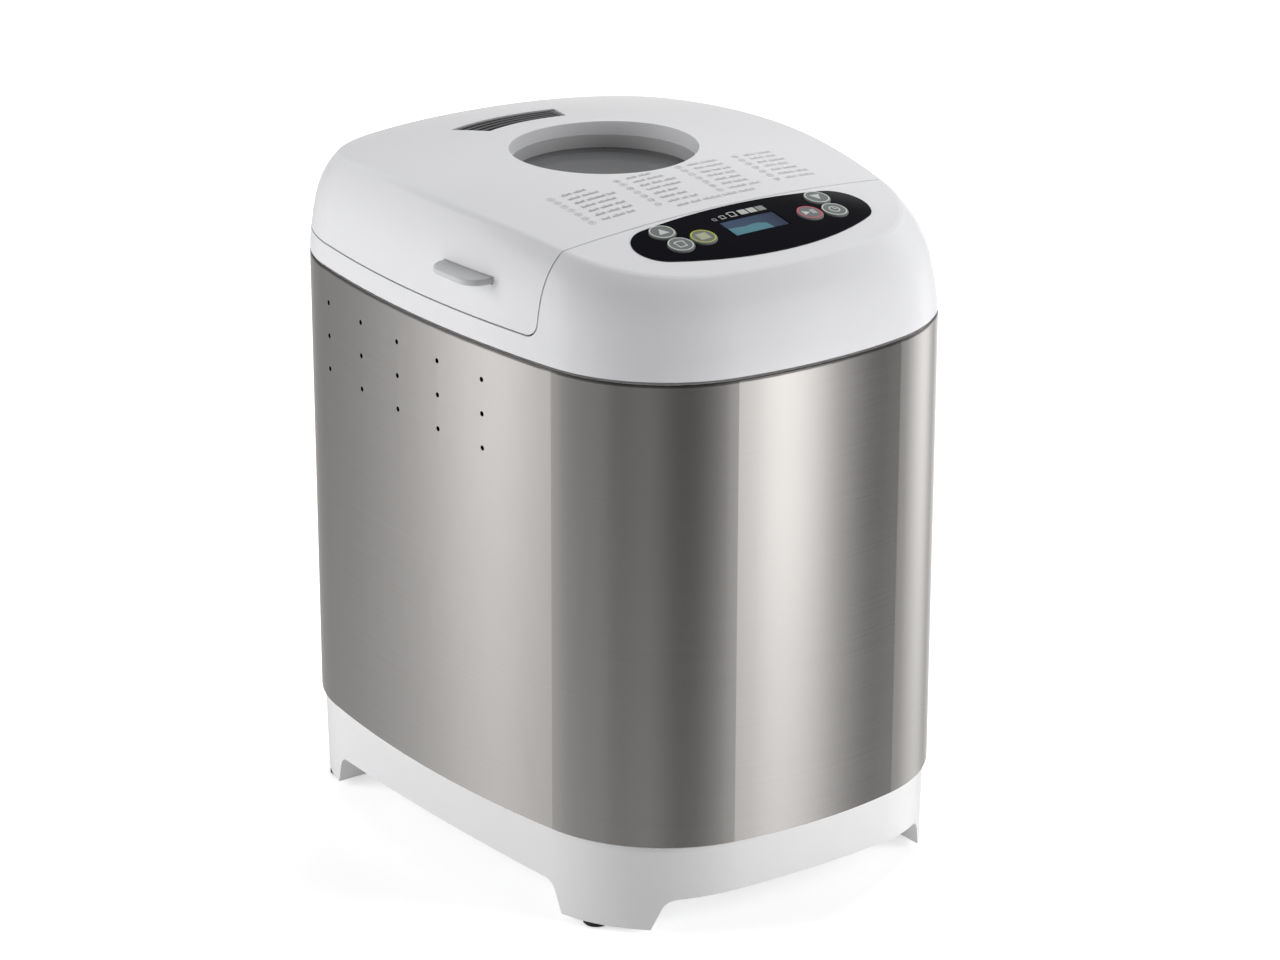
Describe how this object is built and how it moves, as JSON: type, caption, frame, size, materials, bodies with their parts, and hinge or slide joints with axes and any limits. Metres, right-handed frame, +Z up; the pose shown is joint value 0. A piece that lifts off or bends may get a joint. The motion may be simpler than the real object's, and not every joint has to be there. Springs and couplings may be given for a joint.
{
  "type": "bread machine",
  "caption": "Domestic bread machine with a domed hinged lid with a round window, front control panel, brushed steel wrap, heated chamber, lift-out pan and a belt-driven kneading paddle",
  "frame": {"origin": "centre of the footprint, on the surface that the rubber feet stand on", "axes": "+Z up; the control panel faces -Y and the lid hinge is at +Y; +X to the right seen from the front"},
  "size_m": [0.231, 0.3032, 0.3173],
  "materials": {
    "white_plastic": "satin gloss",
    "stainless_steel": "fine brushed, warm grey",
    "black_gloss_panel": "glossy printed film",
    "grey_plastic": "satin",
    "dark_polymer": "matt",
    "black_rubber": "matt",
    "clear_window": "tinted, clear",
    "display": "clear over a blue display",
    "button_plastic": "satin",
    "circuit_board": "solder mask",
    "plated_steel": "aluminised, dull",
    "zinc_steel": "zinc plated",
    "heater_sheath": "oxidised, dark",
    "ceramic": "unglazed",
    "nonstick_coating": "speckled non-stick",
    "cast_aluminium": "cast",
    "sintered_bronze": "sintered, oiled",
    "lamination_steel": "laminated",
    "copper": "enamelled wire"
  },
  "bodies": {
    "root": {"base": "white_plastic", "rubber_feet": "black_rubber", "steel_wrap": "stainless_steel", "top_frame": "white_plastic", "cord_bush": "dark_polymer", "hinge_pins": "zinc_steel", "control_overlay": "black_gloss_panel", "display_window": "display", "lcd_module": "dark_polymer", "control_board": "circuit_board", "tact_switches": "dark_polymer", "oven_chamber": "plated_steel", "heating_element": "heater_sheath", "element_bushes": "ceramic", "element_clips": "zinc_steel", "temperature_sensor": "zinc_steel", "thermal_fuse": "ceramic", "pan_clips": "zinc_steel", "bearing_housing": "cast_aluminium", "shaft_bushes": "sintered_bronze", "drive_belt": "black_rubber", "chassis_plate": "zinc_steel", "chassis_screws": "zinc_steel", "chamber_standoffs": "zinc_steel", "motor_stator": "lamination_steel", "motor_windings": "copper", "motor_lower_cover": "cast_aluminium", "motor_upper_cover": "cast_aluminium", "motor_bolts": "zinc_steel", "power_board": "circuit_board", "transformer": "lamination_steel", "relays": "dark_polymer", "motor_capacitor": "cast_aluminium"},
    "lid": {"lid": "white_plastic", "lid_liner": "plated_steel", "liner_screws": "zinc_steel", "window_ring": "dark_polymer", "window_glass": "clear_window", "steam_vent": "grey_plastic", "left_finger_tab": "grey_plastic", "right_finger_tab": "grey_plastic"},
    "pan": {"bread_pan": "nonstick_coating", "pan_foot": "cast_aluminium", "pan_bearing": "cast_aluminium"},
    "bail": {"pan_handle": "zinc_steel"},
    "paddle": {"pan_shaft": "zinc_steel", "kneading_paddle": "nonstick_coating"},
    "drive": {"drive_shaft": "zinc_steel", "drive_coupling": "cast_aluminium", "large_pulley": "grey_plastic"},
    "motor": {"motor_rotor": "lamination_steel", "motor_fan": "grey_plastic", "small_pulley": "cast_aluminium"},
    "button_up": {"button_up": "button_plastic"},
    "button_loaf_size": {"button_loaf_size": "button_plastic"},
    "button_crust": {"button_crust": "button_plastic"},
    "button_down": {"button_down": "button_plastic"},
    "button_menu": {"button_menu": "button_plastic"},
    "button_start_stop": {"button_start_stop": "button_plastic"}
  },
  "joints": [
    {"name": "lid_hinge", "type": "hinge", "parent": "root", "child": "lid", "pos_m": [0, 0.1474, 0.2722], "axis": [-1, 0, 0], "range_deg": [0, 85]},
    {"name": "pan_lift", "type": "slide", "parent": "root", "child": "pan", "axis": [0, 0, 1], "range_m": [0, 0.045]},
    {"name": "bail_swing", "type": "hinge", "parent": "pan", "child": "bail", "pos_m": [0, 0.024, 0.235], "axis": [0, 1, 0], "range_deg": [0, 160.9]},
    {"name": "paddle_spin", "type": "hinge", "parent": "pan", "child": "paddle", "pos_m": [0, 0.024, 0.11], "axis": [0, 0, 1], "continuous": true},
    {"name": "drive_spin", "type": "hinge", "parent": "root", "child": "drive", "pos_m": [0, 0.024, 0.05], "axis": [0, 0, 1], "continuous": true},
    {"name": "motor_spin", "type": "hinge", "parent": "root", "child": "motor", "pos_m": [0, -0.1055, 0.075], "axis": [0, 0, 1], "continuous": true},
    {"name": "button_up_press", "type": "slide", "parent": "root", "child": "button_up", "axis": [0, 0.1813, -0.9834], "range_m": [0, 0.0008], "stiffness_N_per_m": 400},
    {"name": "button_loaf_size_press", "type": "slide", "parent": "root", "child": "button_loaf_size", "axis": [0, 0.1813, -0.9834], "range_m": [0, 0.0008], "stiffness_N_per_m": 400},
    {"name": "button_crust_press", "type": "slide", "parent": "root", "child": "button_crust", "axis": [0, 0.1813, -0.9834], "range_m": [0, 0.0008], "stiffness_N_per_m": 400},
    {"name": "button_down_press", "type": "slide", "parent": "root", "child": "button_down", "axis": [0, 0.1813, -0.9834], "range_m": [0, 0.0008], "stiffness_N_per_m": 400},
    {"name": "button_menu_press", "type": "slide", "parent": "root", "child": "button_menu", "axis": [0, 0.1813, -0.9834], "range_m": [0, 0.0008], "stiffness_N_per_m": 400},
    {"name": "button_start_stop_press", "type": "slide", "parent": "root", "child": "button_start_stop", "axis": [0, 0.1813, -0.9834], "range_m": [0, 0.0008], "stiffness_N_per_m": 400}
  ],
  "couplings": [
    {"joint": "paddle_spin", "follows": "drive_spin", "ratio": 1},
    {"joint": "motor_spin", "follows": "drive_spin", "ratio": 6}
  ]
}
